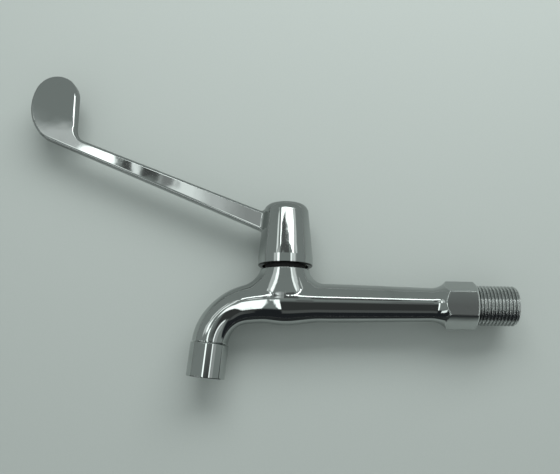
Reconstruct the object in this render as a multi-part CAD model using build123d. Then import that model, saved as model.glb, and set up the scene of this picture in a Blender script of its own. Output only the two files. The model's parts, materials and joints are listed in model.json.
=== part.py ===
from build123d import *
import os
from math import acos, ceil, cos, hypot, radians, sin, sqrt

os.makedirs("parts", exist_ok=True)

# A long lever wall tap. All sizes are in millimetres.
# The origin is on the inlet axis, where the wall thread meets the hexagon.
# +X points into the wall, +Z points up along the spindle, and Y runs across the tap.

# Wall thread, a male G1/2 parallel pipe thread
thread_major_d = 20.955
thread_pitch = 1.8143
thread_depth = 1.162
thread_crest_flat = 0.25
thread_root_flat = 0.24
thread_length = 21.0
thread_relief = 0.3
thread_end_chamfer = 1.2

# Hexagon that takes the spanner, and the flare that leads into it
hex_across_flats = 22.0
hex_length = 15.0
hex_end_turned_length = 0.6
hex_end_turned_depth = 1.6
hex_corner_edge = 0.35
flare_radius = 10.2

# Long body tube, which swells round the valve, and the neck that stands on it
valve_to_shoulder = 100.0
tube_d = 20.4
tube_end_d = 17.7
tube_straight = 25.0
swell_d = 24.3
swell_reach = 20.0
neck_d = 23.5
neck_top = 17.5
neck_flare = 14.0
neck_flare_power = 5.5
neck_sections = 10
spout_blend = 14.0
tube_blend = 8.0
blend_headroom = 30.0
blend_split = 0.7

# Spout, which leaves the swell level and turns down
spout_straight = 5.0
spout_lead_radius = 80.0
spout_lead_turn = 11.0
spout_bend_radius = 23.15
spout_tilt = 5.35
spout_root_d = 23.6
spout_throat_d = 21.8
spout_shoulder_d = 20.8
spout_waist_d = 18.7
spout_end_d = 19.0
spout_root_share = 0.1
spout_throat_share = 0.24
spout_shoulder_share = 0.37
spout_waist_share = 0.62
spout_sections = 10

# Waterways inside the body
inlet_bore_d = 13.0
partition_wall = 3.0
passage_d = 6.0
seat_floor_wall = 1.4
seat_hole_d = 6.8
outlet_bore_d = 12.6
bore_overrun = 2.0

# Pocket in the neck that takes the headwork
seat_level = -1.5
seat_ledge = 0.5
pocket_d = 17.0
neck_thread_d = 18.0
thread_play = 0.05

# Ceramic headwork, from the seat upwards
seat_seal_h = 2.4
seat_seal_d = 13.0
seat_seal_hole_d = 11.2
disc_h = 2.4
disc_d = 13.0
disc_play = 0.1
disc_film = 0.02
port_inner_r = 2.1
port_outer_r = 5.3
port_angle = 78.0
cover_angle = 94.0
cover_hub_r = 2.0
disc_lug_width = 2.4
disc_lug_reach = 0.9
drive_peg_d = 1.8
drive_peg_r = 4.4
drive_peg_depth = 1.2
peg_play = 0.05
driver_wing_h = 1.6
driver_wing_angle = 50.0
driver_flange_h = 1.6
driver_flange_d = 10.4
stop_rib_r = 5.6
stop_play_angle = 1.0
quarter_turn = 90.0
slide_washer_h = 0.6
slide_washer_d = 11.0
skirt_wall = 1.0
skirt_rise = 0.6
window_angle = 84.0
window_lintel = 0.4
bonnet_seal_h = 2.2
bonnet_seal_d = 21.6
bonnet_hex_af = 19.0
bonnet_hex_h = 6.0
bonnet_barrel_d = 13.6
bonnet_barrel_h = 11.3
bonnet_edge = 0.4

# Spindle and what it carries
spindle_d = 8.0
spindle_play = 0.05
ring_groove_depth = 1.0
ring_groove_width = 1.6
ring_section_d = 0.95
ring_first_rise = 7.4
ring_spacing = 6.0
circlip_h = 0.8
circlip_d = 10.6
circlip_gap_angle = 50.0
circlip_play = 0.05
spline_teeth = 20
spline_d = 7.9
spline_tooth_depth = 0.4
spline_root_share = 0.35
spline_tip_share = 0.15
spline_play = 0.05

# Handle: cap, lever and paddle in one casting
cap_gap = 1.7
cap_h = 34.3
cap_overhang = 2.85
cap_band_h = 5.0
cap_top_d = 24.4
cap_corner_radius = 5.0
cap_wall = 2.2
cap_rim_edge = 0.4
boss_d = 13.6
boss_clearance = 1.2
web_h = 2.5
spindle_end_gap = 0.2
lever_root_height = 23.75
lever_root_depth = 10.9
lever_thickness = 6.6
lever_edge = 1.5
lever_root_blend = 2.0
paddle_reach = 130.65
paddle_low_height = 80.5
paddle_low_d = 22.6
paddle_heel = 9.5
paddle_lean = 1.45
paddle_length = 14.75
paddle_top_d = 25.1
paddle_back_radius = 25.0
paddle_inner_blend = 9.0

# Screw, lock washer and index plug in the top of the cap
screw_d = 4.0
screw_play = 0.05
screw_hole_play = 0.25
screw_length = 11.0
screw_head_d = 7.6
screw_head_h = 2.3
screw_head_edge = 0.75
screw_slot = 1.0
screw_slot_depth = 1.2
screw_tip_gap = 1.0
lock_washer_h = 0.8
lock_washer_d = 7.4
recess_d = 10.6
plug_play = 0.1
plug_skirt_wall = 0.9
plug_top_h = 1.2
plug_head_gap = 0.3

# Nozzle sleeve and flow straightener, from the seam downwards
nozzle_d = 20.2
nozzle_length = 18.0
nozzle_seam = 0.3
nozzle_edge = 0.5
spigot_d = 16.6
spigot_length = 8.0
spigot_play = 0.05
nozzle_washer_h = 1.5
nozzle_washer_hole_d = 13.0
cage_flange_h = 1.4
cage_flange_play = 0.15
cage_d = 15.2
cage_play = 0.15
cage_h = 5.0
cage_wall = 1.0
cage_bar = 0.8
cage_bar_pitch = 2.6
cage_bar_h = 1.6
nozzle_lip_hole_d = 13.4
screen_h = 0.4
screen_play = 0.1
screen_hole = 0.9
screen_pitch = 1.5
screen_rim = 0.9

# Levels and places worked out from the sizes above
valve_x = -valve_to_shoulder
blend_split_x = valve_x + blend_split
hex_corner_r = hex_across_flats / sqrt(3)
flare_rise = hex_corner_r - tube_end_d / 2
flare_angle = acos(1 - flare_rise / flare_radius)
flare_start = -hex_length - flare_radius * sin(flare_angle)
spout_turn = 90.0 - spout_tilt
spout_root_x = valve_x - spout_straight
lead_end_x = spout_root_x - spout_lead_radius * sin(radians(spout_lead_turn))
lead_end_z = -spout_lead_radius * (1 - cos(radians(spout_lead_turn)))
bend_centre_x = lead_end_x + spout_bend_radius * sin(radians(spout_lead_turn))
bend_centre_z = lead_end_z - spout_bend_radius * cos(radians(spout_lead_turn))
spout_end_x = bend_centre_x - spout_bend_radius * sin(radians(spout_turn))
spout_end_z = bend_centre_z + spout_bend_radius * cos(radians(spout_turn))
nozzle_frame = Pos(spout_end_x, 0, spout_end_z) * Rot(0, spout_tilt, 0)

skirt_inner_d = disc_d + 2 * disc_play
skirt_outer_d = skirt_inner_d + 2 * skirt_wall
skirt_end = seat_level + skirt_rise
fixed_disc_low = seat_level + seat_seal_h
fixed_disc_top = fixed_disc_low + disc_h
moving_disc_low = fixed_disc_top + disc_film
moving_disc_top = moving_disc_low + disc_h
driver_low = moving_disc_top + disc_film
driver_flange_low = driver_low + driver_wing_h
driver_top = driver_flange_low + driver_flange_h
slide_washer_low = driver_top + disc_film
bonnet_shoulder = slide_washer_low + slide_washer_h + disc_film
bonnet_hex_low = neck_top + bonnet_seal_h
bonnet_hex_top = bonnet_hex_low + bonnet_hex_h
bonnet_top = bonnet_hex_top + bonnet_barrel_h
circlip_low = bonnet_top + circlip_play
circlip_top = circlip_low + circlip_h

cap_rim = neck_top + cap_gap
cap_rim_d = neck_d + 2 * cap_overhang
cap_top = cap_rim + cap_h
recess_depth = plug_top_h + plug_head_gap + screw_head_h + lock_washer_h
recess_floor = cap_top - recess_depth
ceiling = recess_floor - web_h
boss_low = circlip_top + boss_clearance
spindle_top = ceiling - spindle_end_gap
screw_tip = recess_floor + lock_washer_h - screw_length

cap_band_top = cap_rim + cap_band_h
cap_corner_z = cap_top - cap_corner_radius

passage_z = seat_level - seat_floor_wall - passage_d / 2
nozzle_washer_low = -(spigot_length + nozzle_washer_h)
cage_flange_low = nozzle_washer_low - cage_flange_h
cage_low = cage_flange_low - cage_h
CENTRE_MIN = (Align.CENTER, Align.CENTER, Align.MIN)
CENTRE_MAX = (Align.CENTER, Align.CENTER, Align.MAX)
SNAP = 0.01


def post(diameter, low, high, x=valve_x):
    """A plain upright cylinder, by default on the valve axis."""
    return Pos(x, 0, low) * Cylinder(diameter / 2, high - low, align=CENTRE_MIN)


def ring(outer_d, inner_d, low, high, x=valve_x):
    """An upright ring, by default on the valve axis."""
    overrun = high - low
    return post(outer_d, low, high, x) - post(inner_d, low - overrun, high + overrun, x)


def polar(radius, heading):
    """A point at a radius and a heading in degrees from +X."""
    return (radius * cos(radians(heading)), radius * sin(radians(heading)))


def sector(radius, angle, low, high, heading=0.0):
    """A pie slice on the valve axis, centred on a heading in degrees from +X."""
    rim = [polar(radius, heading + share * angle) for share in (-0.5, 0, 0.5)]
    outline = Line((0, 0), rim[0]) + ThreePointArc(*rim) + Line(rim[2], (0, 0))
    return Pos(valve_x, 0, low) * extrude(make_face(outline), high - low)


def write(shape, name):
    """Save one sub-part under its plain name."""
    export_step(shape, "parts/" + name + ".step")


def thread_stud():
    """The wall thread as turned ridges with the thread's own flanks, crests and roots."""
    crest_r = thread_major_d / 2
    root_r = crest_r - thread_depth
    flank = (thread_pitch - thread_crest_flat - thread_root_flat) / 2
    count = ceil(thread_length / thread_pitch)
    corners = [(0, 0), (0, root_r)]
    for turn in range(count):
        foot = thread_relief + turn * thread_pitch
        corners += [
            (foot, root_r),
            (foot + flank, crest_r),
            (foot + flank + thread_crest_flat, crest_r),
            (foot + 2 * flank + thread_crest_flat, root_r),
        ]
    corners.append((thread_relief + count * thread_pitch, 0))
    ridges = revolve(Plane.XZ * Polygon(*corners, align=None), Axis.X)
    blank = Rot(0, 90, 0) * Cylinder(crest_r, thread_length, align=CENTRE_MIN)
    return ridges & chamfer(blank.edges().sort_by(Axis.X)[-1], thread_end_chamfer)


def hex_collar():
    """The hexagon, turned to a concave flare on one end and a small chamfer on the other."""
    tube_r = tube_end_d / 2
    middle = flare_angle / 2
    flare_middle = (
        flare_start + flare_radius * sin(middle),
        tube_r + flare_radius * (1 - cos(middle)),
    )
    outline = Line((flare_start, 0), (flare_start, tube_r))
    outline += ThreePointArc((flare_start, tube_r), flare_middle, (-hex_length, hex_corner_r))
    outline += Polyline(
        (-hex_length, hex_corner_r),
        (-hex_end_turned_length, hex_corner_r),
        (0, hex_corner_r - hex_end_turned_depth),
        (0, 0),
        (flare_start, 0),
    )
    turned = revolve(Plane.XZ * make_face(outline), Axis.X)
    section = RegularPolygon(hex_across_flats / 2, 6, major_radius=False, rotation=90)
    section = Plane.YZ * fillet(section.vertices(), hex_corner_edge)
    prism = Pos(flare_start, 0, 0) * extrude(section, -flare_start)
    return turned & prism


def tube():
    """The level tube: swollen at the valve, straight past it, then tapering to the flare."""
    swell_end = valve_x + swell_reach
    middle = (valve_x, swell_d / 2)
    outline = Spline(middle, (swell_end, tube_d / 2), tangents=[(1, 0), (1, 0)])
    outline += Polyline(
        (swell_end, tube_d / 2),
        (valve_x + tube_straight, tube_d / 2),
        (flare_start, tube_end_d / 2),
        (flare_start, 0),
        (valve_x, 0),
        middle,
    )
    return revolve(Plane.XZ * make_face(outline), Axis.X)


def spout_path():
    """The spout's centre line: level from the valve, a gentle arc down, then a tighter one."""
    lead_middle = radians(spout_lead_turn / 2)
    lead_middle_point = (
        spout_root_x - spout_lead_radius * sin(lead_middle),
        0,
        -spout_lead_radius * (1 - cos(lead_middle)),
    )
    lead_end = (lead_end_x, 0, lead_end_z)
    bend_middle = radians((spout_lead_turn + spout_turn) / 2)
    bend_middle_point = (
        bend_centre_x - spout_bend_radius * sin(bend_middle),
        0,
        bend_centre_z + spout_bend_radius * cos(bend_middle),
    )
    level = Line((valve_x, 0, 0), (spout_root_x, 0, 0))
    lead = ThreePointArc((spout_root_x, 0, 0), lead_middle_point, lead_end)
    bend = ThreePointArc(lead_end, bend_middle_point, (spout_end_x, 0, spout_end_z))
    return Wire([level, lead, bend])


def spout():
    """The outside of the spout: a swollen root, then a waist part of the way round its bend."""
    path = spout_path()
    reach = path.length
    stations = [
        (0, swell_d / 2),
        (spout_root_share * reach, spout_root_d / 2),
        (spout_throat_share * reach, spout_throat_d / 2),
        (spout_shoulder_share * reach, spout_shoulder_d / 2),
        (spout_waist_share * reach, spout_waist_d / 2),
        (reach, spout_end_d / 2),
    ]
    radii = Spline(*stations, tangents=[(1, 0), (1, 0)])
    sections = []
    for step in range(spout_sections + 1):
        station = radii @ (step / spout_sections)
        share = min(station.X / reach, 1)
        sections.append(Plane(origin=path @ share, z_dir=path % share) * Circle(station.Y))
    return loft(sections)


def neck():
    """The upright neck: round at its top, and stretched along the tube towards its foot."""
    height = neck_top + blend_headroom
    sections = []
    for step in range(neck_sections + 1):
        share = step / neck_sections
        half_length = neck_d / 2 + neck_flare * share**neck_flare_power
        sections.append(Pos(valve_x, 0, height * (1 - share)) * Ellipse(half_length, neck_d / 2))
    return loft(sections)


def casting():
    """The outside of the body, blended wider on the spout's side than on the tube's."""
    barrel = tube() + spout()
    upright = neck()
    base = barrel + upright
    seams = [edge for edge in new_edges(barrel, upright, combined=base) if edge.center().Z > 0]
    above = post(3 * neck_d, neck_top, neck_top + 2 * blend_headroom)
    size = 3 * valve_to_shoulder
    halves = []
    for side, radius in ((1, tube_blend), (-1, spout_blend)):
        shell = fillet(seams, radius) - above
        halves.append(shell - Pos(blend_split_x - side * size / 2, 0, 0) * Box(size, size, size))
    return halves[0] + halves[1]


def waterways():
    """Everything the water fills inside the body: inlet, passage, seat hole, pocket and outlet."""
    inlet_end = valve_x + pocket_d / 2 + partition_wall
    inlet = Cylinder(inlet_bore_d / 2, thread_length + bore_overrun - inlet_end, align=CENTRE_MIN)
    passage = Cylinder(passage_d / 2, inlet_end + bore_overrun - valve_x, align=CENTRE_MIN)
    water = Pos(inlet_end, 0, 0) * Rot(0, 90, 0) * inlet
    water += Pos(valve_x, 0, passage_z) * Rot(0, 90, 0) * passage
    water += post(seat_hole_d, passage_z, seat_level + bore_overrun)
    water += post(pocket_d, seat_level, neck_top)
    water += post(neck_thread_d, bonnet_shoulder, neck_top + bore_overrun)
    path = spout_path()
    mouth = Plane(origin=path @ 0, z_dir=path % 0) * Circle(outlet_bore_d / 2)
    ledge = post(seat_seal_d + 2 * seat_ledge, -neck_d, seat_level)
    water += sweep(mouth, path=path) - ledge
    tail = Cylinder(outlet_bore_d / 2, spigot_length + bore_overrun, align=CENTRE_MAX)
    return water + nozzle_frame * tail


def body():
    """The body casting with its waterways, neck pocket, wall thread and nozzle spigot."""
    spigot = Cylinder(spigot_d / 2, spigot_length + bore_overrun, align=CENTRE_MAX)
    outside = casting() + hex_collar() + thread_stud()
    outside += nozzle_frame * Pos(0, 0, bore_overrun) * spigot
    return outside - waterways()


def seat_seal():
    """The rubber ring between the body's seat and the fixed disc."""
    return ring(seat_seal_d, seat_seal_hole_d, seat_level, fixed_disc_low)


def fixed_disc():
    """The lower ceramic disc, with two ports and two lugs that stop it turning."""
    disc = post(disc_d, fixed_disc_low, fixed_disc_top)
    for heading in (90, 270):
        port = sector(port_outer_r, port_angle, fixed_disc_low, fixed_disc_top, heading)
        disc -= port - post(2 * port_inner_r, fixed_disc_low, fixed_disc_top)
    lug_reach = 2 * (disc_d / 2 + disc_lug_reach)
    lugs = Pos(valve_x, 0, fixed_disc_low) * Box(lug_reach, disc_lug_width, disc_h, align=CENTRE_MIN)
    return disc + (lugs - post(disc_d - disc_lug_reach, fixed_disc_low, fixed_disc_top))


def peg_places():
    """Centres of the two pegs that drive the moving disc, one in each cover."""
    return [(valve_x, side * drive_peg_r) for side in (1, -1)]


def moving_disc():
    """The upper ceramic disc: two covers that close the ports at rest."""
    disc = post(2 * cover_hub_r, moving_disc_low, moving_disc_top)
    for heading in (90, 270):
        disc += sector(disc_d / 2, cover_angle, moving_disc_low, moving_disc_top, heading)
    for x, y in peg_places():
        floor = moving_disc_top - drive_peg_depth - peg_play
        disc -= Pos(0, y, 0) * post(drive_peg_d + 2 * peg_play, floor, moving_disc_top + disc_h, x)
    return disc


def bonnet():
    """The brass headwork body: slotted skirt, thread, hexagon and barrel round the spindle."""
    thread_d = neck_thread_d - 2 * thread_play
    shape = post(skirt_outer_d, skirt_end, bonnet_shoulder)
    shape += post(thread_d, bonnet_shoulder, bonnet_hex_low)
    hexagon = RegularPolygon(bonnet_hex_af / 2, 6, major_radius=False)
    shape += Pos(valve_x, 0, bonnet_hex_low) * extrude(hexagon, bonnet_hex_h)
    shape += post(bonnet_barrel_d, bonnet_hex_top, bonnet_top)
    shape = chamfer(shape.edges().group_by(Axis.Z)[-1], bonnet_edge)
    shape -= post(skirt_inner_d, skirt_end - disc_h, bonnet_shoulder)
    shape -= post(spindle_d + 2 * spindle_play, skirt_end, bonnet_top + disc_h)
    window_top = bonnet_shoulder - window_lintel
    for heading in (135, 315):
        shape -= sector(skirt_outer_d, window_angle, driver_low, window_top, heading)
    rib_angle = 180.0 - quarter_turn - driver_wing_angle - 2 * stop_play_angle
    for heading in (45, 225):
        rib = sector(skirt_inner_d / 2 + skirt_wall / 2, rib_angle, driver_low, window_top, heading)
        shape += rib - post(2 * stop_rib_r, driver_low, window_top)
    slot_reach = 2 * skirt_outer_d
    slot_h = fixed_disc_top - skirt_end + disc_play
    slot = Box(slot_reach, disc_lug_width + 2 * disc_play, slot_h + disc_h, align=CENTRE_MIN)
    return shape - Pos(valve_x, 0, skirt_end - disc_h) * slot


def spline_outline(play=0.0):
    """The toothed outline that the spindle and the handle share, grown by a clearance."""
    tip = spline_d / 2 + play
    root = spline_d / 2 - spline_tooth_depth + play
    step = 360.0 / spline_teeth
    profile = [
        (root, -spline_root_share),
        (tip, -spline_tip_share),
        (tip, spline_tip_share),
        (root, spline_root_share),
    ]
    corners = []
    for tooth in range(spline_teeth):
        corners += [polar(radius, (tooth + share) * step) for radius, share in profile]
    return Polygon(*corners, align=None)


def ring_levels():
    """Heights of the two O-ring centres on the spindle."""
    first = bonnet_shoulder + ring_first_rise
    return [first, first + ring_spacing]


def spindle():
    """The brass spindle: driver wings and pegs, two ring grooves, a circlip groove and the spline."""
    shape = post(driver_flange_d, driver_flange_low, driver_top)
    shape += post(spindle_d, driver_top, circlip_top + circlip_play)
    for heading in (90, 270):
        shape += sector(skirt_inner_d / 2 - disc_play, driver_wing_angle, driver_low, driver_top, heading)
    shape += post(2 * cover_hub_r, driver_low, driver_top)
    for x, y in peg_places():
        peg_end = moving_disc_top - drive_peg_depth
        shape += Pos(0, y, 0) * post(drive_peg_d, peg_end, driver_flange_low, x)
    spline_low = circlip_top + circlip_play
    shape += Pos(valve_x, 0, spline_low) * extrude(spline_outline(), spindle_top - spline_low)
    groove_d = spindle_d - 2 * ring_groove_depth
    for level in ring_levels():
        shape -= ring(spindle_d * 2, groove_d, level - ring_groove_width / 2, level + ring_groove_width / 2)
    shape -= ring(spindle_d * 2, groove_d, bonnet_top, circlip_top + circlip_play)
    hole_bottom = screw_tip - screw_tip_gap
    return shape - post(screw_d + 2 * screw_play, hole_bottom, spindle_top + disc_h)


def o_ring(level):
    """One rubber ring in its spindle groove, sealing against the bonnet's bore."""
    groove_r = spindle_d / 2 - ring_groove_depth
    bore_r = spindle_d / 2 + spindle_play
    return Pos(valve_x, 0, level) * Torus((groove_r + bore_r) / 2, ring_section_d / 2)


def circlip():
    """The open spring ring that holds the spindle down in the bonnet."""
    inner_d = spindle_d - 2 * ring_groove_depth + 2 * circlip_play
    clip = ring(circlip_d, inner_d, circlip_low, circlip_top)
    return clip - sector(circlip_d, circlip_gap_angle, circlip_low, circlip_top, 180)


def cap_radius(z):
    """Outside radius of the cap at a height: a band, a cone, then a rounded corner."""
    rim_r = cap_rim_d / 2
    top_r = cap_top_d / 2
    if z <= cap_band_top:
        return rim_r
    if z <= cap_corner_z:
        return rim_r - (rim_r - top_r) * (z - cap_band_top) / (cap_corner_z - cap_band_top)
    return top_r - cap_corner_radius + sqrt(max(cap_corner_radius**2 - (z - cap_corner_z) ** 2, 0))


def cap_outside():
    """The cap as a solid turned body, before it is hollowed."""
    rim_r = cap_rim_d / 2
    top_r = cap_top_d / 2
    corner_x = top_r - cap_corner_radius
    diagonal = polar(cap_corner_radius, 45)
    outline = Polyline(
        (0, cap_rim),
        (rim_r - cap_rim_edge, cap_rim),
        (rim_r, cap_rim + cap_rim_edge),
        (rim_r, cap_band_top),
        (top_r, cap_corner_z),
    )
    outline += ThreePointArc(
        (top_r, cap_corner_z),
        (corner_x + diagonal[0], cap_corner_z + diagonal[1]),
        (corner_x, cap_top),
    )
    outline += Polyline((corner_x, cap_top), (0, cap_top), (0, cap_rim))
    return Pos(valve_x, 0, 0) * revolve(Plane.XZ * make_face(outline), Axis.Z)


def cap_hollow():
    """The space under the cap, one wall inside its outside, with the splined boss left standing."""
    below = cap_rim - cap_wall
    outline = Polyline(
        (0, below),
        (cap_rim_d / 2 - cap_wall, below),
        (cap_rim_d / 2 - cap_wall, cap_band_top),
        (cap_radius(ceiling) - cap_wall, ceiling),
        (0, ceiling),
        close=True,
    )
    space = Pos(valve_x, 0, 0) * revolve(Plane.XZ * make_face(outline), Axis.Z)
    bore = Pos(valve_x, 0, boss_low) * extrude(spline_outline(spline_play), ceiling - boss_low)
    return space - post(boss_d, boss_low, ceiling) + bore


def paddle_circles():
    """Centres and radii of the paddle's low and top rounds, measured from the valve axis."""
    low = Vector(-paddle_reach, cap_rim + paddle_low_height)
    return low, paddle_low_d / 2, low + Vector(-paddle_lean, paddle_length), paddle_top_d / 2


def paddle_outline():
    """Side view of the paddle: two rounds, a bulged back and a straight inner side."""
    low, low_r, top, top_r = paddle_circles()
    span = top - low
    reach = span.length
    up = span / reach
    inward = Vector(up.Y, -up.X)
    drift = (low_r - top_r) / reach
    side = up * drift + inward * sqrt(1 - drift**2)
    low_gap = paddle_back_radius - low_r
    top_gap = paddle_back_radius - top_r
    along = (low_gap**2 - top_gap**2 + reach**2) / (2 * reach)
    back_centre = low + up * along + inward * sqrt(low_gap**2 - along**2)
    low_back = back_centre + (low - back_centre).normalized() * paddle_back_radius
    top_back = back_centre + (top - back_centre).normalized() * paddle_back_radius
    mid_back = back_centre + ((low_back + top_back) / 2 - back_centre).normalized() * paddle_back_radius
    corners = [low + side * low_r, top + side * top_r, top_back, low_back, low]
    blade = Polygon(*[(corner.X, corner.Y) for corner in corners], align=None)
    bulge = make_face(Line(low_back, top_back) + ThreePointArc(top_back, mid_back, low_back))
    rounds = Pos(low.X, low.Y) * Circle(low_r) + Pos(top.X, top.Y) * Circle(top_r)
    return blade + bulge + rounds


def lever_outline():
    """Side view of the lever: a tapered bar that runs into the upright paddle."""
    low, low_r, top, top_r = paddle_circles()
    root_x = cap_wall / 2 - cap_top_d / 2
    root_mid = cap_rim + lever_root_height
    upper_root = (root_x, root_mid + lever_root_depth / 2)
    lower_root = Vector(root_x, root_mid - lever_root_depth / 2)
    inner_x = low.X + low_r
    inner = (inner_x, low.Y - paddle_heel)
    span = low - lower_root
    swing = acos(low_r / span.length)
    back = Vector(-span.X, -span.Y) / span.length
    touch = low + Vector(
        back.X * cos(swing) + back.Y * sin(swing),
        back.Y * cos(swing) - back.X * sin(swing),
    ) * low_r
    upper_side = [upper_root, inner, (inner_x, low.Y)]
    lower_side = [(point.X, point.Y) for point in (low, touch, lower_root)]
    outline = Polygon(*upper_side, *lower_side, align=None) + paddle_outline()
    corner = outline.vertices().sort_by_distance((inner[0], inner[1], 0))[0]
    return fillet(corner, paddle_inner_blend)


def lever():
    """The lever as a flat bar with rounded edges."""
    bar = extrude(lever_outline(), lever_thickness / 2, both=True)
    root_x = bar.bounding_box().max.X
    long_edges = [edge for edge in bar.faces().filter_by(Axis.Z).edges() if edge.center().X < root_x - SNAP]
    bar = fillet(long_edges, lever_edge)
    return Pos(valve_x, 0, 0) * Rot(90, 0, 0) * bar


def handle():
    """The handle casting: cap, lever and paddle in one, hollow over the headwork."""
    shape = cap_outside() + lever()
    root = []
    for edge in shape.edges():
        points = [edge @ share for share in (0.1, 0.5, 0.9)]
        on_cap = all(abs(hypot(p.X - valve_x, p.Y) - cap_radius(p.Z)) < SNAP for p in points)
        in_bar = all(p.X < valve_x and abs(p.Y) < lever_thickness / 2 + SNAP for p in points)
        if on_cap and in_bar:
            root.append(edge)
    shape = fillet(root, lever_root_blend)
    shape -= cap_hollow()
    shape -= post(recess_d, recess_floor, cap_top + cap_wall)
    return shape - post(screw_d + 2 * screw_hole_play, ceiling - web_h, cap_top)


def handle_screw():
    """The slotted pan head screw that holds the handle on the spindle."""
    head_low = recess_floor + lock_washer_h
    head_top = head_low + screw_head_h
    head = post(screw_head_d, head_low, head_top)
    head = fillet(head.edges().sort_by(Axis.Z)[-1], screw_head_edge)
    shape = head + post(screw_d, screw_tip, head_low)
    slot = Box(screw_head_d * 2, screw_slot, screw_slot_depth * 2)
    return shape - Pos(valve_x, 0, head_top) * slot


def lock_washer():
    """The split washer under the screw head."""
    washer = ring(lock_washer_d, screw_d + 2 * screw_hole_play, recess_floor, recess_floor + lock_washer_h)
    return washer - Pos(valve_x, 0, recess_floor) * Box(
        lock_washer_d, screw_slot, lock_washer_h * 3, align=(Align.MIN, Align.CENTER, Align.CENTER)
    )


def index_plug():
    """The round plug that closes the screw recess flush with the cap."""
    outer_d = recess_d - 2 * plug_play
    plug = post(outer_d, recess_floor, cap_top)
    return plug - post(outer_d - 2 * plug_skirt_wall, recess_floor, cap_top - plug_top_h)


def slide_washer():
    """The plastic thrust washer between the driver and the bonnet's shoulder."""
    inner_d = spindle_d + 2 * disc_play
    return ring(slide_washer_d, inner_d, slide_washer_low, slide_washer_low + slide_washer_h)


def bonnet_seal():
    """The rubber ring between the neck and the bonnet's hexagon, seen in the gap under the cap."""
    return ring(bonnet_seal_d, neck_thread_d, neck_top, bonnet_hex_low)


def nozzle_ring(outer_d, inner_d, low, high):
    """A ring on the nozzle's axis; heights are negative below the seam."""
    tube_ring = Cylinder(outer_d / 2, high - low, align=CENTRE_MIN)
    hole = Cylinder(inner_d / 2, high - low, align=CENTRE_MIN)
    return Pos(0, 0, low) * (tube_ring - hole)


def nozzle_sleeve():
    """The sleeve screwed on the spigot; its lip and step hold the flow straightener."""
    barrel = Cylinder(nozzle_d / 2, nozzle_length - nozzle_seam, align=CENTRE_MIN)
    outside = Pos(0, 0, -nozzle_length) * barrel
    outside = fillet(outside.edges().filter_by(GeomType.CIRCLE), nozzle_edge)
    depth = nozzle_length * 2
    outside -= Pos(0, 0, cage_flange_low) * Cylinder(spigot_d / 2 + spigot_play, depth, align=CENTRE_MIN)
    outside -= Pos(0, 0, cage_low - cage_play) * Cylinder(cage_d / 2 + cage_play, depth, align=CENTRE_MIN)
    outside -= Cylinder(nozzle_lip_hole_d / 2, 2 * depth)
    return nozzle_frame * outside


def nozzle_washer():
    """The rubber washer between the spigot's end and the straightener's flange."""
    return nozzle_frame * nozzle_ring(spigot_d, nozzle_washer_hole_d, nozzle_washer_low, -spigot_length)


def cage():
    """The plastic flow straightener: a flanged ring with a row of bars each way."""
    inner_d = cage_d - 2 * cage_wall
    shape = nozzle_ring(cage_d, inner_d, cage_low, cage_flange_low)
    flange_d = spigot_d - 2 * cage_flange_play
    shape += nozzle_ring(flange_d, inner_d, cage_flange_low, nozzle_washer_low)
    bars = Sketch()
    count = int(inner_d / 2 / cage_bar_pitch)
    for step in range(-count, count + 1):
        bars += Pos(step * cage_bar_pitch, 0) * Rectangle(cage_bar, inner_d)
        bars += Pos(0, step * cage_bar_pitch) * Rectangle(inner_d, cage_bar)
    bars = bars & Circle(inner_d / 2 + cage_wall / 2)
    return nozzle_frame * (shape + Pos(0, 0, cage_low) * extrude(bars, cage_bar_h))


def screen(number):
    """One of the two woven screens that lie on the straightener's bars."""
    radius = cage_d / 2 - cage_wall - screen_play
    count = int(radius / screen_pitch)
    holes = [
        Pos(column * screen_pitch, row * screen_pitch) * Rectangle(screen_hole, screen_hole)
        for column in range(-count, count + 1)
        for row in range(-count, count + 1)
        if hypot(column, row) * screen_pitch < radius - screen_rim
    ]
    low = cage_low + cage_bar_h + number * (screen_h + disc_film)
    mesh = extrude(Circle(radius) - holes, screen_h)
    return nozzle_frame * Pos(0, 0, low) * Rot(0, 0, 45 * number) * mesh


pieces = {
    "body": body(),
    "seat_seal": seat_seal(),
    "fixed_disc": fixed_disc(),
    "moving_disc": moving_disc(),
    "slide_washer": slide_washer(),
    "bonnet": bonnet(),
    "bonnet_seal": bonnet_seal(),
    "spindle": spindle(),
    "circlip": circlip(),
    "handle": handle(),
    "lock_washer": lock_washer(),
    "handle_screw": handle_screw(),
    "index_plug": index_plug(),
    "nozzle_sleeve": nozzle_sleeve(),
    "nozzle_washer": nozzle_washer(),
    "flow_straightener": cage(),
}
for number, level in enumerate(ring_levels()):
    pieces["spindle_o_ring_" + str(number + 1)] = o_ring(level)
for number in range(2):
    pieces["outlet_screen_" + str(number + 1)] = screen(number)
for name, shape in pieces.items():
    write(shape, name)
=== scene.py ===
import json
import logging
import math
from dataclasses import dataclass, field
from enum import Enum
from typing import NamedTuple, Sequence, Union

import bpy
from mathutils import Matrix, Vector

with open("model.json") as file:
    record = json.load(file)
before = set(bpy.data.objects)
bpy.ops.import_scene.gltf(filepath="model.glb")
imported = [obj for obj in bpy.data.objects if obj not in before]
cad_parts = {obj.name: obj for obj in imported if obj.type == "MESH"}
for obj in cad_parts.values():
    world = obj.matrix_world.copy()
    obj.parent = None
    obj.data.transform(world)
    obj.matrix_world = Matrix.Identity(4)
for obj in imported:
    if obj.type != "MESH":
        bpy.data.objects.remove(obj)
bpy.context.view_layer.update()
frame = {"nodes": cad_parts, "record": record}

LOG = logging.getLogger("wall_tap")
Colour = tuple[float, float, float]
Feed = Union[bpy.types.NodeSocket, float, tuple[float, ...]]

# Places on the tap, in metres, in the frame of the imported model
VALVE_X = -0.100
THREAD_CREST_R = 0.0104775
THREAD_ROOT_R = 0.0093155
RIM_HEIGHT = 0.0192
TABLE_Y = 0.0152

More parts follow.
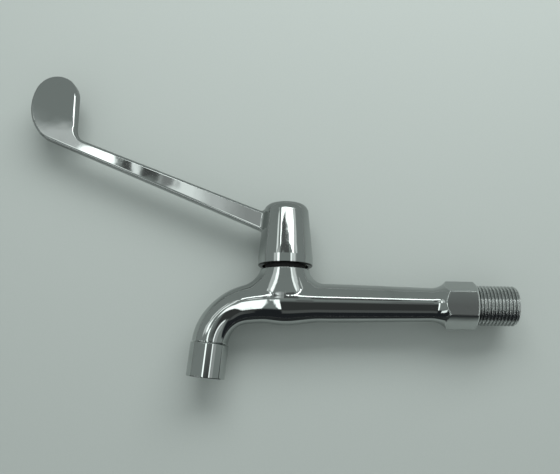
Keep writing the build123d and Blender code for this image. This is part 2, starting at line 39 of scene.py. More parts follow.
# Steps between nodes in the shader editor, and rows before they start again at the top
NODE_STEP_ACROSS = 190
NODE_STEP_DOWN = 160
NODE_ROWS = 4

# Socket numbers of the Mix node when it blends colours
MIX_SHARE, MIX_FIRST, MIX_SECOND, MIX_RESULT = 0, 6, 7, 2


class Fade(NamedTuple):
    """A smooth change from one value to another between two places."""

    low: float
    high: float
    start: float = 0.0
    end: float = 1.0


# The parts of their noise in which smudges, hairlines and patches show
SMUDGES = Fade(0.52, 0.74)
HAIRLINES = Fade(0.6, 0.72, 0.0, 0.02)
PATCHES = Fade(0.35, 0.7)

# How the hairlines' noise is turned and drawn out
HAIRLINE_TURN = (0.3, 0.9, 0.5)
HAIRLINE_PULL = (1.0, 0.06, 1.0)

# Where the thread's dirt sets in, along x from the hexagon's end face
THREAD_START = Fade(0.0, 0.0004)


class NodeSketch:
    """A shorthand for placing and joining shader nodes in one tree."""

    def __init__(self, tree: bpy.types.NodeTree) -> None:
        """Keeps the tree and empties it.

        Args:
            tree: The node tree that this sketch fills.
        """
        self.tree = tree
        tree.nodes.clear()
        self.column = 0

    def add(
        self, kind: str, inputs: dict[str | int, Feed] | None = None, **settings: object
    ) -> bpy.types.Node:
        """Adds a node, sets its properties and fills its sockets.

        Args:
            kind: The node's type name.
            inputs: Socket name or number to a plain value or to the output that feeds it.
            **settings: Properties of the node.

        Returns:
            The new node.
        """
        node = self.tree.nodes.new(kind)
        row = self.column % NODE_ROWS
        node.location = (self.column * NODE_STEP_ACROSS, -row * NODE_STEP_DOWN)
        self.column += 1
        for name, value in settings.items():
            setattr(node, name, value)
        for name, value in (inputs or {}).items():
            self.feed(node.inputs[name], value)
        return node

    def feed(self, socket: bpy.types.NodeSocket, value: Feed) -> None:
        """Links an output to a socket, or sets the socket's own value.

        Args:
            socket: The socket to fill.
            value: An output socket, a number or a tuple.
        """
        if isinstance(value, bpy.types.NodeSocket):
            self.tree.links.new(value, socket)
        elif socket.type == "RGBA" and len(value) == 3:
            socket.default_value = (*value, 1.0)
        else:
            socket.default_value = value

    def math(
        self, operation: str, first: Feed, second: Feed = 0.0, third: Feed = 0.0, clamp: bool = False
    ) -> bpy.types.NodeSocket:
        """One arithmetic step.

        Args:
            operation: The math node's operation.
            first: First number or output.
            second: Second number or output.
            third: Third number or output.
            clamp: Keeps the result from 0 to 1.

        Returns:
            The result's output socket.
        """
        inputs = {0: first, 1: second, 2: third}
        node = self.add("ShaderNodeMath", inputs, operation=operation, use_clamp=clamp)
        return node.outputs[0]

    def ramp(self, value: Feed, fade: Fade) -> bpy.types.NodeSocket:
        """Maps a value smoothly from one range to another.

        Args:
            value: The output to map.
            fade: Its low and high become the fade's start and end.

        Returns:
            The mapped value's output socket.
        """
        inputs = {
            "Value": value,
            "From Min": fade.low,
            "From Max": fade.high,
            "To Min": fade.start,
            "To Max": fade.end,
        }
        node = self.add("ShaderNodeMapRange", inputs, interpolation_type="SMOOTHSTEP")
        return node.outputs["Result"]

    def noise(
        self, place: Feed, scale: Feed, detail: float, roughness: float = 0.5
    ) -> bpy.types.NodeSocket:
        """Cloudy noise that is fixed to the object.

        Args:
            place: The object's coordinates.
            scale: Clouds to the metre, about.
            detail: How many finer layers lie on the first.
            roughness: How strong the finer layers are.

        Returns:
            The noise's output socket.
        """
        inputs = {"Vector": place, "Scale": scale, "Detail": detail, "Roughness": roughness}
        return self.add("ShaderNodeTexNoise", inputs).outputs["Fac"]

    def mix(self, share: Feed, first: Feed, second: Feed) -> bpy.types.NodeSocket:
        """Blends two colours.

        Args:
            share: How much of the second colour shows.
            first: First colour or output.
            second: Second colour or output.

        Returns:
            The blended colour's output socket.
        """
        node = self.add("ShaderNodeMix", data_type="RGBA")
        self.feed(node.inputs[MIX_SHARE], share)
        self.feed(node.inputs[MIX_FIRST], first)
        self.feed(node.inputs[MIX_SECOND], second)
        return node.outputs[MIX_RESULT]


def new_group(
    name: str, inputs: dict[str, float], outputs: Sequence[str]
) -> tuple[NodeSketch, dict[str, bpy.types.NodeSocket], bpy.types.Node]:
    """Starts a shader node group with a Vector input and float sockets.

    Args:
        name: The group's name.
        inputs: Names of the float inputs, with their first values.
        outputs: Names of the float outputs.

    Returns:
        The sketch of the group's tree, its input sockets by name, and its output node.
    """
    tree = bpy.data.node_groups.new(name, "ShaderNodeTree")
    tree.interface.new_socket("Vector", in_out="INPUT", socket_type="NodeSocketVector")
    for label, value in inputs.items():
        socket = tree.interface.new_socket(label, in_out="INPUT", socket_type="NodeSocketFloat")
        socket.default_value = value
    for label in outputs:
        tree.interface.new_socket(label, in_out="OUTPUT", socket_type="NodeSocketFloat")
    sketch = NodeSketch(tree)
    start = sketch.add("NodeGroupInput")
    end = sketch.add("NodeGroupOutput")
    return sketch, {socket.name: socket for socket in start.outputs}, end


def polish_group() -> bpy.types.NodeTree:
    """Marks that handling leaves on a bright surface.

    Returns:
        A group with a smudge mask, a roughness that follows it, and a height of ripples and
        hairlines.
    """
    sockets = {
        "Smudge Scale": 60.0,
        "Clean Roughness": 0.04,
        "Smudged Roughness": 0.16,
        "Ripple Scale": 90.0,
        "Hairline Scale": 900.0,
    }
    sketch, given, end = new_group("polish_marks", sockets, ("Smudge", "Roughness", "Height"))
    cloud = sketch.noise(given["Vector"], given["Smudge Scale"], detail=5.0, roughness=0.62)
    smudge = sketch.ramp(cloud, SMUDGES)
    spread = sketch.math("SUBTRACT", given["Smudged Roughness"], given["Clean Roughness"])
    rough = sketch.math("MULTIPLY_ADD", smudge, spread, given["Clean Roughness"])
    ripple = sketch.noise(given["Vector"], given["Ripple Scale"], detail=1.5, roughness=0.4)
    pulled = {"Vector": given["Vector"], "Rotation": HAIRLINE_TURN, "Scale": HAIRLINE_PULL}
    stretched = sketch.add("ShaderNodeMapping", pulled).outputs[0]
    hairline = sketch.noise(stretched, given["Hairline Scale"], detail=3.0, roughness=0.7)
    height = sketch.math("SUBTRACT", ripple, sketch.ramp(hairline, HAIRLINES))
    sketch.feed(end.inputs["Smudge"], smudge)
    sketch.feed(end.inputs["Roughness"], rough)
    sketch.feed(end.inputs["Height"], height)
    return sketch.tree


def thread_dirt_group() -> bpy.types.NodeTree:
    """A mask that fills the roots of the wall thread.

    Returns:
        A group whose Dirt output is 1 in the thread's roots and in the bore behind them, and 0 on
        the crests and on the rest of the casting.
    """
    sockets = {"Root Radius": THREAD_ROOT_R, "Crest Radius": THREAD_CREST_R}
    sketch, given, end = new_group("thread_dirt", sockets, ("Dirt",))
    parts = sketch.add("ShaderNodeSeparateXYZ", {0: given["Vector"]})
    square_y = sketch.math("MULTIPLY", parts.outputs["Y"], parts.outputs["Y"])
    square = sketch.math("MULTIPLY_ADD", parts.outputs["Z"], parts.outputs["Z"], square_y)
    radius = sketch.math("SQRT", square)
    depth = sketch.add(
        "ShaderNodeMapRange",
        {
            "Value": radius,
            "From Min": given["Root Radius"],
            "From Max": given["Crest Radius"],
            "To Min": 1.0,
            "To Max": 0.0,
        },
    )
    on_thread = sketch.ramp(parts.outputs["X"], THREAD_START)
    dirt = sketch.math("MULTIPLY", depth.outputs[0], on_thread, clamp=True)
    sketch.feed(end.inputs["Dirt"], dirt)
    return sketch.tree


def grain_group() -> bpy.types.NodeTree:
    """Fine grain for turned, moulded and rubber surfaces.

    Returns:
        A group with a mask of patches and a height of fine grain.
    """
    sockets = {"Patch Scale": 120.0, "Grain Scale": 1400.0, "Stretch": 1.0}
    sketch, given, end = new_group("fine_grain", sockets, ("Patches", "Height"))
    patches = sketch.noise(given["Vector"], given["Patch Scale"], detail=4.0, roughness=0.6)
    pull = sketch.add("ShaderNodeCombineXYZ", {0: 1.0, 1: 1.0, 2: given["Stretch"]})
    pulled = {0: given["Vector"], 1: pull.outputs[0]}
    stretched = sketch.add("ShaderNodeVectorMath", pulled, operation="MULTIPLY").outputs[0]
    grain = sketch.noise(stretched, given["Grain Scale"], detail=2.0)
    sketch.feed(end.inputs["Patches"], sketch.ramp(patches, PATCHES))
    sketch.feed(end.inputs["Height"], grain)
    return sketch.tree


def panel_group() -> bpy.types.NodeTree:
    """A soft-edged patch on the room card, placed by x and z and leaning if need be.

    Returns:
        A group whose Panel output is 1 inside the panel and 0 outside.
    """
    sockets = {
        "Centre X": 0.0,
        "Centre Z": 0.0,
        "Half Width": 0.1,
        "Half Height": 0.1,
        "Softness": 0.03,
        "Lean": 0.0,
    }
    sketch, given, end = new_group("room_panel", sockets, ("Panel",))
    parts = sketch.add("ShaderNodeSeparateXYZ", {0: given["Vector"]})
    along = sketch.math("MULTIPLY_ADD", parts.outputs["Z"], given["Lean"], parts.outputs["X"])
    measures = (
        (along, given["Centre X"], given["Half Width"]),
        (parts.outputs["Z"], given["Centre Z"], given["Half Height"]),
    )
    inside = []
    for place, centre, half in measures:
        offset = sketch.math("ABSOLUTE", sketch.math("SUBTRACT", place, centre))
        past_edge = sketch.math("DIVIDE", sketch.math("SUBTRACT", offset, half), given["Softness"])
        inside.append(sketch.math("SUBTRACT", 1.0, past_edge, clamp=True))
    sketch.feed(end.inputs["Panel"], sketch.math("MULTIPLY", *inside))
    return sketch.tree


@dataclass(frozen=True)
class Effects:
    """The shared node groups, built once."""

    polish: bpy.types.NodeTree
    thread_dirt: bpy.types.NodeTree
    grain: bpy.types.NodeTree
    panel: bpy.types.NodeTree

    @classmethod
    def build(cls) -> "Effects":
        """Makes every group once."""
        return cls(polish_group(), thread_dirt_group(), grain_group(), panel_group())


@dataclass(frozen=True)
class RimShade:
    """Painted shade: the dark line low on the cap's rim, above the gap, where the rim mirrors the dark
    gap.
    """

    tone: Colour = (0.03, 0.03, 0.03)
    fade: Fade = Fade(RIM_HEIGHT + 0.0005, RIM_HEIGHT + 0.0009, 1.0, 0.0)

    def over(self, sketch: NodeSketch, place: Feed, colour: Feed) -> bpy.types.NodeSocket:
        """Lays the painted shade over a colour.

        Args:
            sketch: The material's tree.
            place: The object's coordinates.
            colour: The colour so far.

        Returns:
            The colour with the line.
        """
        up = sketch.add("ShaderNodeSeparateXYZ", {0: place}).outputs["Z"]
        return sketch.mix(sketch.ramp(up, self.fade), colour, self.tone)


@dataclass(frozen=True)
class PolishedEdgesPaintedHighlight:
    """Sharp edges that polishing has rounded, with a painted highlight along them."""

    # Along x: the casting's radius up to the hexagon's end face, and the thread's after it
    radius: Fade = Fade(-0.0004, 0.0, 0.00096, 0.00054)
    samples: int = 8
    # From the cosine between the rounded and the flat surface to the share of the painted highlight's
    # tone
    turn: Fade = Fade(0.90, 0.99, 1.0, 0.0)
    tone: Colour = (0.96, 0.98, 0.97)

    def over(
        self, sketch: NodeSketch, place: Feed, colour: Feed, bump: bpy.types.Node
    ) -> bpy.types.NodeSocket:
        """Rounds the surface under a bump and paints a highlight into the colour at the edges.

        Args:
            sketch: The material's tree.
            place: The object's coordinates.
            colour: The colour so far.
            bump: The bump node that takes the rounded surface.

        Returns:
            The colour with its painted edge highlight.
        """
        along = sketch.add("ShaderNodeSeparateXYZ", {0: place}).outputs["X"]
        radius = sketch.ramp(along, self.radius)
        rounded = sketch.add("ShaderNodeBevel", {"Radius": radius}, samples=self.samples).outputs[0]
        sketch.feed(bump.inputs["Normal"], rounded)
        flat = sketch.add("ShaderNodeNewGeometry").outputs["Normal"]
        turned = sketch.add("ShaderNodeVectorMath", {0: rounded, 1: flat}, operation="DOT_PRODUCT")
        return sketch.mix(sketch.ramp(turned.outputs["Value"], self.turn), colour, self.tone)


@dataclass(frozen=True)
class ChromeFinish:
    """Polished chrome plate with smudges, ripples of the casting and hairlines."""

    name: str
    tint: Colour = (0.530, 0.550, 0.542)
    smudged_tint: Colour = (0.480, 0.500, 0.490)
    clean_roughness: float = 0.035
    smudged_roughness: float = 0.10
    smudge_scale: float = 55.0
    ripple_scale: float = 70.0
    ripple_height: float = 0.00003
    threaded: bool = False
    dirt_tone: Colour = (0.42, 0.43, 0.43)
    dirt_roughness: float = 0.22
    rim: RimShade | None = None
    edges: PolishedEdgesPaintedHighlight | None = None

    def material(self, effects: Effects) -> bpy.types.Material:
        """Builds the material.

        Args:
            effects: The shared node groups.

        Returns:
            The new material.
        """
        made = bpy.data.materials.new(self.name)
        made.use_nodes = True
        sketch = NodeSketch(made.node_tree)
        place = sketch.add("ShaderNodeTexCoord").outputs["Object"]
        marks = sketch.add(
            "ShaderNodeGroup",
            {
                "Vector": place,
                "Smudge Scale": self.smudge_scale,
                "Clean Roughness": self.clean_roughness,
                "Smudged Roughness": self.smudged_roughness,
                "Ripple Scale": self.ripple_scale,
            },
            node_tree=effects.polish,
        )
        colour = sketch.mix(marks.outputs["Smudge"], self.tint, self.smudged_tint)
        rough = marks.outputs["Roughness"]
        if self.threaded:
            dirt = sketch.add("ShaderNodeGroup", {"Vector": place}, node_tree=effects.thread_dirt)
            colour = sketch.mix(dirt.outputs["Dirt"], colour, self.dirt_tone)
            rough = sketch.math("MULTIPLY_ADD", dirt.outputs["Dirt"], self.dirt_roughness, rough)
        # Painted shade along the bottom of the cap's rim
        if self.rim:
            colour = self.rim.over(sketch, place, colour)
        bump = sketch.add(
            "ShaderNodeBump",
            {"Strength": 1.0, "Distance": self.ripple_height, "Height": marks.outputs["Height"]},
        )
        # Rounded edges, and a painted highlight along them
        if self.edges:
            colour = self.edges.over(sketch, place, colour, bump)
        shader = sketch.add(
            "ShaderNodeBsdfPrincipled",
            {"Base Color": colour, "Metallic": 1.0, "Roughness": rough, "Normal": bump.outputs[0]},
        )
        sketch.add("ShaderNodeOutputMaterial", {"Surface": shader.outputs[0]})
        return made


@dataclass(frozen=True)
class PlainFinish:
    """Any of the other finishes: a grainy surface in two close tones."""

    name: str
    tone: Colour
    patch_tone: Colour
    metallic: float = 0.0
    roughness: float = 0.4
    patch_roughness: float = 0.5
    patch_scale: float = 120.0
    grain_scale: float = 1400.0
    grain_height: float = 0.00001
    stretch: float = 1.0
    coat: float = 0.0

    def material(self, effects: Effects) -> bpy.types.Material:
        """Builds the material.

        Args:
            effects: The shared node groups.

        Returns:
            The new material.
        """
        made = bpy.data.materials.new(self.name)
        made.use_nodes = True
        sketch = NodeSketch(made.node_tree)
        place = sketch.add("ShaderNodeTexCoord").outputs["Object"]
        grain = sketch.add(
            "ShaderNodeGroup",
            {
                "Vector": place,
                "Patch Scale": self.patch_scale,
                "Grain Scale": self.grain_scale,
                "Stretch": self.stretch,
            },
            node_tree=effects.grain,
        )
        patches = grain.outputs["Patches"]
        colour = sketch.mix(patches, self.tone, self.patch_tone)
        rough = sketch.ramp(patches, Fade(0.0, 1.0, self.roughness, self.patch_roughness))
        bump = sketch.add(
            "ShaderNodeBump",
            {"Strength": 1.0, "Distance": self.grain_height, "Height": grain.outputs["Height"]},
        )
        shader = sketch.add(
            "ShaderNodeBsdfPrincipled",
            {
                "Base Color": colour,
                "Metallic": self.metallic,
                "Roughness": rough,
                "Coat Weight": self.coat,
                "Normal": bump.outputs[0],
            },
        )
        sketch.add("ShaderNodeOutputMaterial", {"Surface": shader.outputs[0]})
        return made


class Finish(Enum):
    """Every finish on the tap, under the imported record's slot names."""

    plated_casting = ChromeFinish("plated_casting", threaded=True, edges=PolishedEdgesPaintedHighlight())
    plated_handle = ChromeFinish(
        "plated_handle",
        smudge_scale=42.0,
        ripple_scale=95.0,
        ripple_height=0.00004,
        rim=RimShade(),
    )
    plated_sleeve = ChromeFinish("plated_sleeve", smudge_scale=80.0, ripple_height=0.000008)
    plug_plastic = PlainFinish(
        "plug_plastic",
        tone=(0.60, 0.62, 0.63),
        patch_tone=(0.55, 0.57, 0.58),
        metallic=1.0,
        roughness=0.16,
        patch_roughness=0.24,
    )
    headwork_brass = PlainFinish(
        "headwork_brass",
        tone=(0.72, 0.53, 0.24),
        patch_tone=(0.60, 0.43, 0.20),
        metallic=1.0,
        roughness=0.28,
        patch_roughness=0.42,
        stretch=14.0,
    )
    disc_ceramic = PlainFinish(
        "disc_ceramic",
        tone=(0.86, 0.85, 0.81),
        patch_tone=(0.82, 0.81, 0.76),
        roughness=0.18,
        coat=0.3,
    )
    seal_rubber = PlainFinish(
        "seal_rubber",
        tone=(0.016, 0.016, 0.017),
        patch_tone=(0.028, 0.027, 0.026),
        roughness=0.55,
        patch_roughness=0.7,
        grain_height=0.00003,
    )
    thrust_plastic = PlainFinish(
        "thrust_plastic",
        tone=(0.84, 0.84, 0.80),
        patch_tone=(0.80, 0.79, 0.74),
        roughness=0.45,
    )
    spring_steel = PlainFinish(
        "spring_steel",
        tone=(0.20, 0.20, 0.21),
        patch_tone=(0.12, 0.12, 0.13),
        metallic=1.0,
        roughness=0.3,
        patch_roughness=0.45,
    )
    screw_steel = PlainFinish(
        "screw_steel",
        tone=(0.58, 0.58, 0.59),
        patch_tone=(0.48, 0.48, 0.49),
        metallic=1.0,
        roughness=0.25,
        stretch=10.0,
    )
    straightener_plastic = PlainFinish(
        "straightener_plastic",
        tone=(0.78, 0.80, 0.82),
        patch_tone=(0.70, 0.72, 0.73),
        roughness=0.35,
        patch_roughness=0.5,
    )
    screen_steel = PlainFinish(
        "screen_steel",
        tone=(0.52, 0.52, 0.53),
        patch_tone=(0.40, 0.40, 0.41),
        metallic=1.0,
        roughness=0.3,
        grain_scale=2600.0,
    )


class Wardrobe:
    """Hands each node the material of its slot, made once."""

    def __init__(self, effects: Effects) -> None:
        """Makes every finish.

        Args:
            effects: The shared node groups.
        """
        self.made = {finish.name: finish.value.material(effects) for finish in Finish}

    def dress(self, piece: bpy.types.Object, slot: str) -> None:
        """Gives a piece the finish of a slot.

        Args:
            piece: The object to dress.
            slot: The slot's name in the record.
        """
        if not piece.material_slots:
            piece.data.materials.append(self.made[slot])
        for place in piece.material_slots:
            place.material = self.made[slot]
        LOG.info("%s wears %s", piece.name, slot)


@dataclass
class PackedNodes:
    """A sub-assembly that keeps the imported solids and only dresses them."""

    title: str
    nodes: tuple[str, ...]

    def dress(self, wardrobe: Wardrobe, slots: dict[str, str]) -> None:
        """Gives every node of the sub-assembly its finish.

        Args:
            wardrobe: Where the finishes are.
            slots: Node name to slot name.
        """
        LOG.info("%s: %d nodes", self.title, len(self.nodes))
        for name in self.nodes:
            wardrobe.dress(frame["nodes"][name], slots[name])


@dataclass
class Table:
    """The plain pale table that the tap lies on, seen only from its own side."""

    half_size: float = 2.4
    tone: Colour = (0.500, 0.555, 0.530)
    speck_tone: Colour = (0.475, 0.530, 0.505)
    speck_scale: float = 900.0
    roughness: float = 0.62
    gloss: float = 0.25
    # Painted shade in reflections: the tone that the plate mirrors of the table, dark below the spout,
    # and darker the higher up
    mirrored_tone: Colour = (0.03, 0.034, 0.036)
    darker_below: Fade = Fade(-0.064, -0.052, 1.0, 0.0)
    darker_above: Fade = Fade(0.01, 0.11, 0.16, 0.48)

    def build(self) -> bpy.types.Object:
        """Makes the table as one large sheet that faces the camera.

        Returns:
            The table object.
        """
        mesh = bpy.data.meshes.new("table")
        s = self.half_size
        corners = [(-s, 0, -s), (s, 0, -s), (s, 0, s), (-s, 0, s)]
        mesh.from_pydata(corners, [], [(0, 1, 2, 3)])
        table = bpy.data.objects.new("table", mesh)
        bpy.context.scene.collection.objects.link(table)
        table.location = (VALVE_X, TABLE_Y, 0)
        table.data.materials.append(self.material())
        return table

    def material(self) -> bpy.types.Material:
        """Pale laminate in front, clear from behind and to the rays of lamps.

        Returns:
            The new material.
        """
        made = bpy.data.materials.new("table_laminate")
        made.use_nodes = True
        sketch = NodeSketch(made.node_tree)
        place = sketch.add("ShaderNodeTexCoord").outputs["Object"]
        speck = sketch.noise(place, self.speck_scale, detail=2.0)
        colour = sketch.mix(speck, self.tone, self.speck_tone)
        rays = sketch.add("ShaderNodeLightPath").outputs
        height = sketch.add("ShaderNodeSeparateXYZ", {0: place}).outputs["Z"]
        below = sketch.ramp(height, self.darker_below)
        above = sketch.ramp(height, self.darker_above)
        # Painted shade seen only in glossy rays, where the plate mirrors the table
        darker = sketch.math("MULTIPLY", sketch.math("MAXIMUM", below, above), rays["Is Glossy Ray"])
        shader = sketch.add(
            "ShaderNodeBsdfPrincipled",
            {
                "Base Color": sketch.mix(darker, colour, self.mirrored_tone),
                "Roughness": self.roughness,
                "Specular IOR Level": self.gloss,
            },
        )
        clear = sketch.add("ShaderNodeBsdfTransparent")
        behind = sketch.add("ShaderNodeNewGeometry").outputs["Backfacing"]
        came_through = sketch.math("GREATER_THAN", rays["Transparent Depth"], 0.5)
        from_behind = sketch.math("MAXIMUM", behind, came_through)
        see_through = sketch.math("MAXIMUM", from_behind, rays["Is Shadow Ray"])
        both = {0: see_through, 1: shader.outputs[0], 2: clear.outputs[0]}
        mixed = sketch.add("ShaderNodeMixShader", both)
        sketch.add("ShaderNodeOutputMaterial", {"Surface": mixed.outputs[0]})
        return made


@dataclass(frozen=True)
class Panel:
    """A plain patch of light or shade on the room card.

    Its centre is given by x, from the valve's axis, and by z. Half is half its width and height. The
    lean moves it towards lower x by that share of its z.
    """

    centre: tuple[float, float]
    half: tuple[float, float]
    tone: float
    softness: float = 0.03
    lean: float = 0.0


@dataclass
class Room:
    """A card round the front of the tap that only the bright plate mirrors."""

    height: float = 0.80
    half_size: float = 3.0
    ceiling_tone: Colour = (0.265, 0.300, 0.288)
    wall_tone: Colour = (0.020, 0.023, 0.026)
    wall_fade: Fade = Fade(-0.85, -0.55, 1.0, 0.0)
    cast: Colour = (0.93, 1.00, 0.98)
    # Each panel covers those before it
    panels: tuple[Panel, ...] = (
        Panel((-1.40, -1.05), (0.75, 0.22), 1.5, 0.08),
        Panel((0.12, -0.50), (0.24, 0.42), 0.055, 0.14),
        Panel((0.30, -1.20), (0.36, 0.30), 0.12, 0.10),
        Panel((0.60, -0.05), (0.22, 0.36), 0.46, 0.08),
        Panel((0.270, 0.030), (0.050, 0.060), 0.17, 0.04),
        Panel((-0.10, 0.250), (0.075, 0.040), 0.42, 0.04),
        Panel((-0.17, 0.275), (0.030, 0.040), 0.74, 0.05),
        Panel((-0.205, 0.290), (0.022, 0.030), 1.25, 0.03),
        Panel((0.105, 0.285), (0.120, 0.070), 0.12, 0.02),
        Panel((-0.025, 0.368), (0.250, 0.012), 0.12, 0.01),
        Panel((-0.230, 0.315), (0.010, 0.018), 0.32, 0.01),
        Panel((-0.44, 0.382), (0.060, 0.016), 0.75, 0.02),
        Panel((-0.680, 0.300), (0.170, 0.090), 0.80, 0.05),
        Panel((-0.425, 0.212), (0.070, 0.060), 2.1, 0.03),
        Panel((-0.200, -0.28), (0.045, 0.38), 2.1, 0.02, 0.05),
        Panel((0.58, 0.255), (0.140, 0.055), 0.95, 0.05),
        Panel((0.385, -0.08), (0.042, 0.33), 1.7, 0.02),
        Panel((0.80, 0.515), (0.24, 0.035), 0.85, 0.03),
        Panel((0.145, 0.4360), (0.480, 0.038), 3.6, 0.005),
        Panel((-0.150, 0.396), (0.140, 0.010), 0.13, 0.003),
        Panel((-0.575, 0.450), (0.070, 0.022), 1.2, 0.015),
        Panel((-0.262, 0.3215), (0.012, 0.010), 0.09, 0.004),
        Panel((-0.304, 0.332), (0.010, 0.012), 0.10, 0.006),
        Panel((-0.290, 0.326), (0.005, 0.016), 1.3, 0.006),
        Panel((-0.362, 0.350), (0.032, 0.0125), 2.8, 0.007),
    )

    def build(self, effects: Effects) -> bpy.types.Object:
        """Makes the card as a box that is open towards the table.

        Args:
            effects: The shared node groups.

        Returns:
            The card object.
        """
        s, h = self.half_size, self.height
        low = [(-s, 0, -s), (s, 0, -s), (s, 0, s), (-s, 0, s)]
        high = [(x, -h, z) for x, _, z in low]
        sides = [(i, (i + 1) % 4, (i + 1) % 4 + 4, i + 4) for i in range(4)]
        mesh = bpy.data.meshes.new("room_card")
        mesh.from_pydata(low + high, [], [(4, 5, 6, 7), *sides])
        card = bpy.data.objects.new("room_card", mesh)
        bpy.context.scene.collection.objects.link(card)
        for ray in ("camera", "diffuse", "shadow", "transmission", "volume_scatter"):
            setattr(card, "visible_" + ray, False)
        card.data.materials.append(self.material(effects))
        return card

    def material(self, effects: Effects) -> bpy.types.Material:
        """Lit card with its panels, darker low down.

        Args:
            effects: The shared node groups.

        Returns:
            The new material.
        """
        made = bpy.data.materials.new("room_tones")
        made.use_nodes = True
        sketch = NodeSketch(made.node_tree)
        place = sketch.add("ShaderNodeTexCoord").outputs["Object"]
        parts = sketch.add("ShaderNodeSeparateXYZ", {0: place})
        low_side = sketch.ramp(parts.outputs["Z"], self.wall_fade)
        colour = sketch.mix(low_side, self.ceiling_tone, self.wall_tone)
        for panel in self.panels:
            patch = sketch.add(
                "ShaderNodeGroup",
                {
                    "Vector": place,
                    "Centre X": panel.centre[0] + VALVE_X,
                    "Centre Z": panel.centre[1],
                    "Half Width": panel.half[0],
                    "Half Height": panel.half[1],
                    "Softness": panel.softness,
                    "Lean": panel.lean,
                },
                node_tree=effects.panel,
            )
            tone = tuple(panel.tone * share for share in self.cast)
            colour = sketch.mix(patch.outputs["Panel"], colour, tone)
        glow = sketch.add("ShaderNodeEmission", {"Color": colour, "Strength": 1.0})
        sketch.add("ShaderNodeOutputMaterial", {"Surface": glow.outputs[0]})
        return made


@dataclass(frozen=True)
class SoftLamp:
    """One area lamp that faces a point."""

    name: str
    place: tuple[float, float, float]
    aim: tuple[float, float, float]
    size: tuple[float, float]
    power: float

    def build(self) -> bpy.types.Object:
        """Makes the lamp, which lights but is not itself seen or mirrored.

        Returns:
            The lamp object.
        """
        data = bpy.data.lights.new(self.name, "AREA")
        data.shape = "RECTANGLE"
        data.size, data.size_y = self.size
        data.energy = self.power
        lamp = bpy.data.objects.new(self.name, data)
        bpy.context.scene.collection.objects.link(lamp)
        lamp.location = self.place
        lamp.rotation_euler = (Vector(self.aim) - lamp.location).to_track_quat("-Z", "Y").to_euler()
        lamp.visible_camera = False
        lamp.visible_glossy = False
        return lamp


@dataclass(frozen=True)
class PaleWorld:
    """Even light all round, with the greys that the plate mirrors past the room card."""

    tone: Colour = (0.435, 0.455, 0.450)
    mirrored_below: Fade = Fade(-0.60, -0.04, 0.34, 0.05)
    mirrored_above: Fade = Fade(0.02, 0.42, 0.05, 0.95)

    def build(self) -> bpy.types.World:
        """Makes the world and sets it.

        Returns:
            The world.
        """
        world = bpy.data.worlds.new("pale_world")
        world.use_nodes = True
        sketch = NodeSketch(world.node_tree)
        way = sketch.add("ShaderNodeTexCoord").outputs["Generated"]
        height = sketch.add("ShaderNodeSeparateXYZ", {0: way}).outputs["Z"]
        below = sketch.ramp(height, self.mirrored_below)
        above = sketch.ramp(height, self.mirrored_above)
        grey = sketch.math("MAXIMUM", below, above)
        mirrored = sketch.add("ShaderNodeCombineColor", {0: grey, 1: grey, 2: grey}).outputs[0]
        glossy = sketch.add("ShaderNodeLightPath").outputs["Is Glossy Ray"]
        colour = sketch.mix(glossy, self.tone, mirrored)
        sky = sketch.add("ShaderNodeBackground", {"Color": colour})
        sketch.add("ShaderNodeOutputWorld", {"Surface": sky.outputs[0]})
        bpy.context.scene.world = world
        return world


@dataclass
class Studio:
    """The table, the room that the plate mirrors, the lamps and the pale world."""

    table: Table = field(default_factory=Table)
    room: Room = field(default_factory=Room)
    lamps: tuple[SoftLamp, ...] = (
        SoftLamp(
            "ceiling_lamp", place=(0.02, -0.46, 0.50), aim=(-0.08, 0.0, 0.05), size=(0.9, 0.36), power=3.8
        ),
        SoftLamp(
            "back_fill", place=(-0.10, 0.9, 0.7), aim=(-0.10, 0.0, 0.0), size=(1.2, 0.8), power=3.0
        ),
    )
    world: PaleWorld = PaleWorld()

    def build(self, effects: Effects) -> None:
        """Sets up everything that is not the tap.

        Args:
            effects: The shared node groups.
        """
        made = [self.table.build(), self.room.build(effects)]
        made += [lamp.build() for lamp in self.lamps]
        made.append(self.world.build())
        LOG.info("studio: %s", ", ".join(thing.name for thing in made))


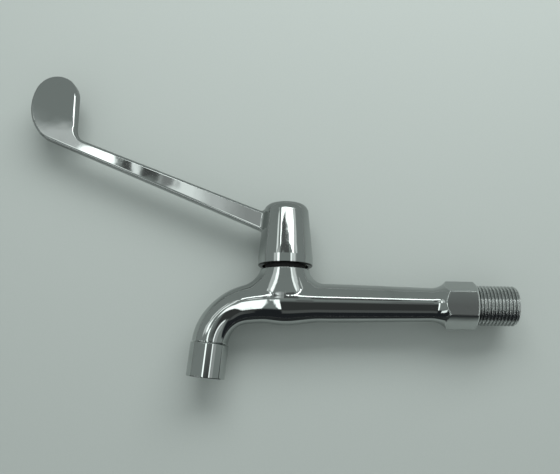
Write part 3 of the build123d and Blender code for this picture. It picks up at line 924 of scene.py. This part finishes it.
@dataclass
class PhotoCamera:
    """The camera, where the photograph's outline puts it."""

    place: tuple[float, float, float] = (-0.09213, -0.35529, -0.04028)
    forward: tuple[float, float, float] = (-0.03030, 0.97760, 0.20825)
    roll: float = 1.19
    focal_pixels: float = 671.7
    photo_width: float = 560.0
    sensor: float = 36.0

    def build(self) -> bpy.types.Object:
        """Makes the scene's camera.

        Returns:
            The camera object.
        """
        data = bpy.data.cameras.new("photo_camera")
        data.sensor_fit = "HORIZONTAL"
        data.sensor_width = self.sensor
        data.lens = self.sensor * (self.focal_pixels / self.photo_width)
        ahead = Vector(self.forward).normalized()
        level = ahead.cross(Vector((0, 0, 1))).normalized()
        above = level.cross(ahead)
        turn = math.radians(self.roll)
        right = level * math.cos(turn) + above * math.sin(turn)
        up = above * math.cos(turn) - level * math.sin(turn)
        axes = Matrix((right, up, -ahead)).transposed().to_4x4()
        camera = bpy.data.objects.new("photo_camera", data)
        bpy.context.scene.collection.objects.link(camera)
        camera.matrix_world = Matrix.Translation(self.place) @ axes
        bpy.context.scene.camera = camera
        return camera


def main() -> None:
    """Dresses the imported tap, then sets the studio and the camera round it."""
    logging.basicConfig(level=logging.INFO, format="%(name)s: %(message)s")
    effects = Effects.build()
    wardrobe = Wardrobe(effects)
    slots = {row["node"]: row["material_slot"] for row in frame["record"]["subparts"]}
    groups = (
        PackedNodes("body", ("body", "seat_seal", "fixed_disc", "bonnet", "bonnet_seal")),
        PackedNodes(
            "headwork",
            (
                "spindle",
                "spindle_o_ring_1",
                "spindle_o_ring_2",
                "circlip",
                "moving_disc",
                "slide_washer",
            ),
        ),
        PackedNodes("handle", ("handle", "handle_screw", "lock_washer", "index_plug")),
        PackedNodes(
            "nozzle",
            (
                "nozzle_sleeve",
                "nozzle_washer",
                "flow_straightener",
                "outlet_screen_1",
                "outlet_screen_2",
            ),
        ),
    )
    for group in groups:
        group.dress(wardrobe, slots)
    Studio().build(effects)
    PhotoCamera().build()
    bpy.context.scene.view_settings.view_transform = "Standard"


if __name__ == "__main__":
    main()
